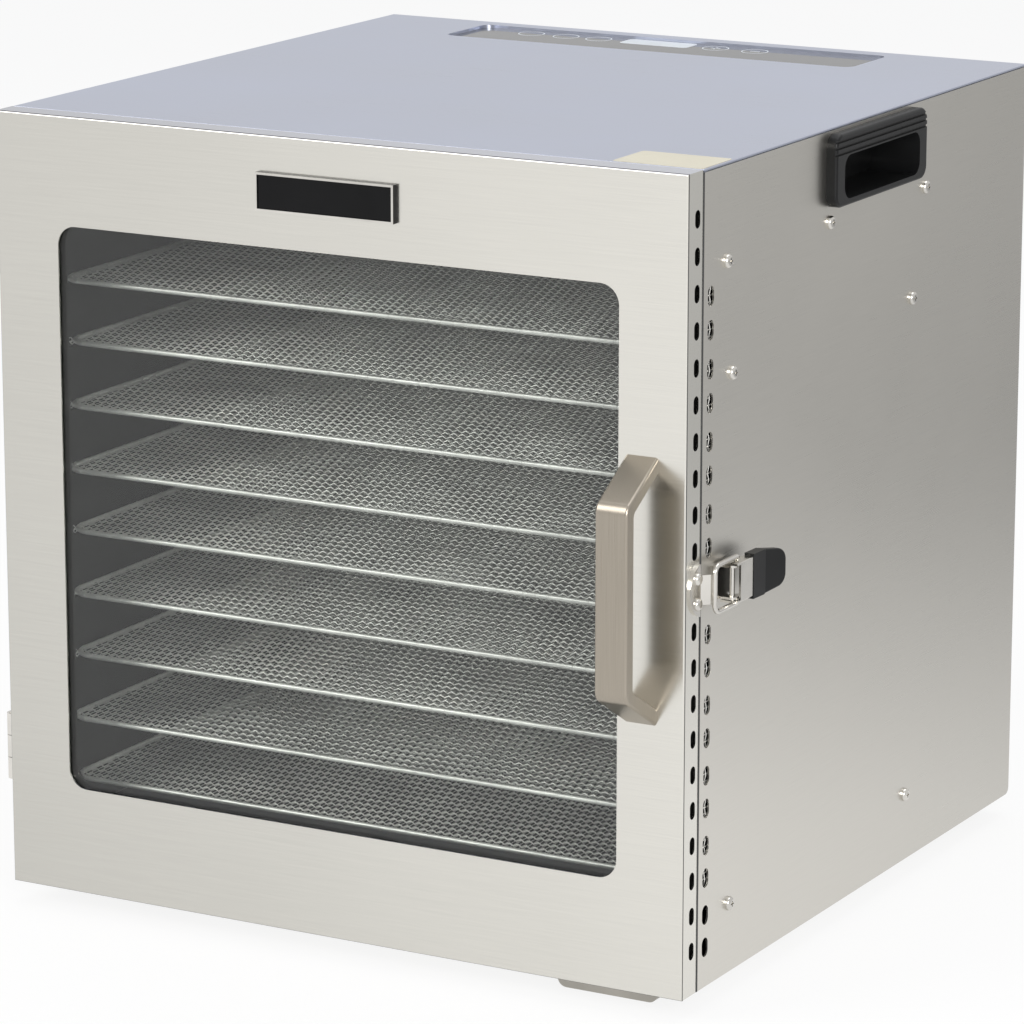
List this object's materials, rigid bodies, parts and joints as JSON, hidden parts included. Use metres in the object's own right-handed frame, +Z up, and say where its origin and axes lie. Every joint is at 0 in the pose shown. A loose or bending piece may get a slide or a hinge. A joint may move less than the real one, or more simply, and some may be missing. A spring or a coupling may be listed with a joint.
{
  "type": "food dehydrator",
  "caption": "Square stainless steel food dehydrator cabinet with a side-hinged glass door, toggle latch, sliding mesh trays, rear fan and a touch panel on top.",
  "frame": {"origin": "on the floor plane, on the cabinet's middle plane and under the middle of the whole depth, handle to rear screws", "axes": "-Y out of the door, +X to the right as seen facing the door, +Z up"},
  "size_m": [0.4286, 0.4387, 0.4272],
  "materials": {
    "sheet_steel": "fine horizontal brushed grain",
    "top_steel": "fine brushed grain, left to right",
    "door_steel": "fine horizontal brushed grain, mirror-like",
    "liner_steel": "mill finish stainless",
    "tray_steel": "bright drawn wire",
    "window_glass": "clear tempered",
    "seal_silicone": "matte silicone",
    "satin_nickel": "satin nickel plate",
    "bright_hardware": "bright zinc and nickel plate",
    "black_plastic": "fine moulded texture",
    "foot_metal": "satin warm grey",
    "panel_gloss": "gloss black",
    "badge_gloss": "gloss black with a bright rim",
    "sticker_film": "plain satin film",
    "fan_aluminium": "stamped, satin",
    "motor_steel": "zinc plated",
    "heater_sheath": "dark oxidised sheath",
    "board_laminate": "solder-mask green",
    "sensor_body": "matte"
  },
  "bodies": {
    "cabinet": {"side_panel_right": "sheet_steel", "side_panel_left": "sheet_steel", "rear_panel": "sheet_steel", "base_pan": "sheet_steel", "top_cover": "top_steel", "inner_wall_right": "liner_steel", "inner_wall_left": "liner_steel", "chamber_floor": "liner_steel", "chamber_ceiling": "liner_steel", "rear_baffle": "liner_steel", "tray_rails_right": "liner_steel", "tray_rails_left": "liner_steel", "side_screws_right": "bright_hardware", "side_screws_left": "bright_hardware", "rear_screws": "bright_hardware", "latch_base": "bright_hardware", "hinge_leaves_cabinet": "bright_hardware", "hinge_pins": "bright_hardware", "side_handle_right": "black_plastic", "side_handle_left": "black_plastic", "mains_inlet": "black_plastic", "foot_front_left": "foot_metal", "foot_front_right": "foot_metal", "foot_rear_left": "foot_metal", "foot_rear_right": "foot_metal", "touch_panel": "panel_gloss", "blank_sticker": "sticker_film", "fan_motor": "motor_steel", "motor_bracket": "motor_steel", "heating_element": "heater_sheath", "control_board": "board_laminate", "board_standoffs": "board_laminate", "thermal_cutout": "sensor_body", "temperature_probe": "sensor_body"},
    "door": {"door_skin": "door_steel", "door_inner_frame": "liner_steel", "door_glass": "window_glass", "glass_seal": "seal_silicone", "door_gasket": "seal_silicone", "door_handle": "satin_nickel", "handle_screws": "bright_hardware", "badge_plate": "badge_gloss", "catch_plate": "bright_hardware", "catch_rivets": "bright_hardware", "hinge_leaves_door": "bright_hardware"},
    "lever": {"latch_lever": "bright_hardware", "lever_cap": "black_plastic"},
    "bail": {"bail": "bright_hardware"},
    "fan": {"fan_impeller": "fan_aluminium", "fan_shaft": "motor_steel"},
    "tray_01": {"tray_01": "tray_steel"},
    "tray_02": {"tray_02": "tray_steel"},
    "tray_03": {"tray_03": "tray_steel"},
    "tray_04": {"tray_04": "tray_steel"},
    "tray_05": {"tray_05": "tray_steel"},
    "tray_06": {"tray_06": "tray_steel"},
    "tray_07": {"tray_07": "tray_steel"},
    "tray_08": {"tray_08": "tray_steel"},
    "tray_09": {"tray_09": "tray_steel"},
    "tray_10": {"tray_10": "tray_steel"}
  },
  "joints": [
    {"name": "door_hinge", "type": "hinge", "parent": "cabinet", "child": "door", "pos_m": [-0.2086, -0.1715, 0.2195], "axis": [0, 0, -1], "range_deg": [0, 170]},
    {"name": "latch_lever_pivot", "type": "hinge", "parent": "cabinet", "child": "lever", "pos_m": [0.2069, -0.15, 0.2195], "axis": [0, 0, -1], "range_deg": [0, 110]},
    {"name": "bail_pivot", "type": "hinge", "parent": "lever", "child": "bail", "pos_m": [0.2069, -0.1445, 0.2195], "axis": [0, 0, -1], "range_deg": [-132, 0]},
    {"name": "fan_spin", "type": "hinge", "parent": "cabinet", "child": "fan", "pos_m": [0, 0.158, 0.212], "axis": [0, 1, 0], "continuous": true},
    {"name": "tray_01_slide", "type": "slide", "parent": "cabinet", "child": "tray_01", "axis": [0, -1, 0], "range_m": [-0.0082, 0.0138]},
    {"name": "tray_02_slide", "type": "slide", "parent": "cabinet", "child": "tray_02", "axis": [0, -1, 0], "range_m": [-0.0107, 0.0113]},
    {"name": "tray_03_slide", "type": "slide", "parent": "cabinet", "child": "tray_03", "axis": [0, -1, 0], "range_m": [-0.0067, 0.0153]},
    {"name": "tray_04_slide", "type": "slide", "parent": "cabinet", "child": "tray_04", "axis": [0, -1, 0], "range_m": [-0.0087, 0.0133]},
    {"name": "tray_05_slide", "type": "slide", "parent": "cabinet", "child": "tray_05", "axis": [0, -1, 0], "range_m": [-0.0062, 0.0158]},
    {"name": "tray_06_slide", "type": "slide", "parent": "cabinet", "child": "tray_06", "axis": [0, -1, 0], "range_m": [-0.0102, 0.0118]},
    {"name": "tray_07_slide", "type": "slide", "parent": "cabinet", "child": "tray_07", "axis": [0, -1, 0], "range_m": [-0.0072, 0.0148]},
    {"name": "tray_08_slide", "type": "slide", "parent": "cabinet", "child": "tray_08", "axis": [0, -1, 0], "range_m": [-0.0052, 0.0168]},
    {"name": "tray_09_slide", "type": "slide", "parent": "cabinet", "child": "tray_09", "axis": [0, -1, 0], "range_m": [-0.0092, 0.0128]},
    {"name": "tray_10_slide", "type": "slide", "parent": "cabinet", "child": "tray_10", "axis": [0, -1, 0], "range_m": [-0.0077, 0.0143]}
  ],
  "couplings": [
    {"joint": "bail_pivot", "follows": "latch_lever_pivot", "ratio": -1.2}
  ]
}
